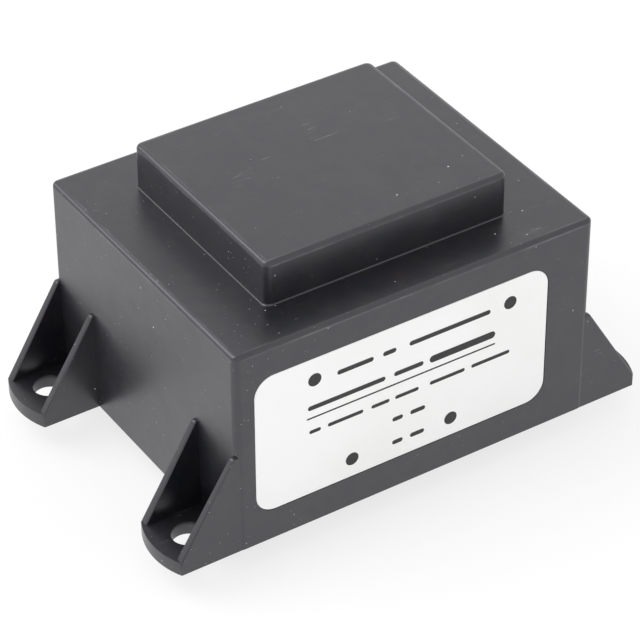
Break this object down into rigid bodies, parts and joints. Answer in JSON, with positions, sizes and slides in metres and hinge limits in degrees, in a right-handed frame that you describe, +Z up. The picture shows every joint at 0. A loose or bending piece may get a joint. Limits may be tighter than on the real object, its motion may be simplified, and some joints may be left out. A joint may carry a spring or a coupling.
{
  "type": "encapsulated pcb transformer",
  "caption": "Potted mains transformer for a circuit board: moulded case with a hump over the coil, gusseted screw lugs, round pins below and a label on one side.",
  "frame": {"origin": "on the board face of the case, in the middle of the four screw holes", "axes": "+X along the label side, from lug to lug; -Y out of the label side; +Z up, away from the board"},
  "size_m": [0.077, 0.048, 0.0432],
  "materials": {
    "case_plastic": "dark grey moulded plastic, satin",
    "potting_resin": "black casting resin, self-levelled",
    "core_steel": "stacked silicon steel laminations",
    "former_plastic": "ivory moulded coil former",
    "copper_wire": "enamelled copper wire",
    "winding_tape": "yellow polyester tape",
    "tinned_pin": "tinned round pin",
    "label_film": "white film, satin"
  },
  "bodies": {
    "root": {"case": "case_plastic", "potting_resin": "potting_resin", "e_laminations": "core_steel", "i_laminations": "core_steel", "coil_former": "former_plastic", "primary_winding": "copper_wire", "secondary_winding": "copper_wire", "primary_tape": "winding_tape", "secondary_tape": "winding_tape", "primary_pin_1": "tinned_pin", "primary_pin_5": "tinned_pin", "secondary_pin_7": "tinned_pin", "secondary_pin_9": "tinned_pin", "label": "label_film"}
  },
  "joints": []
}
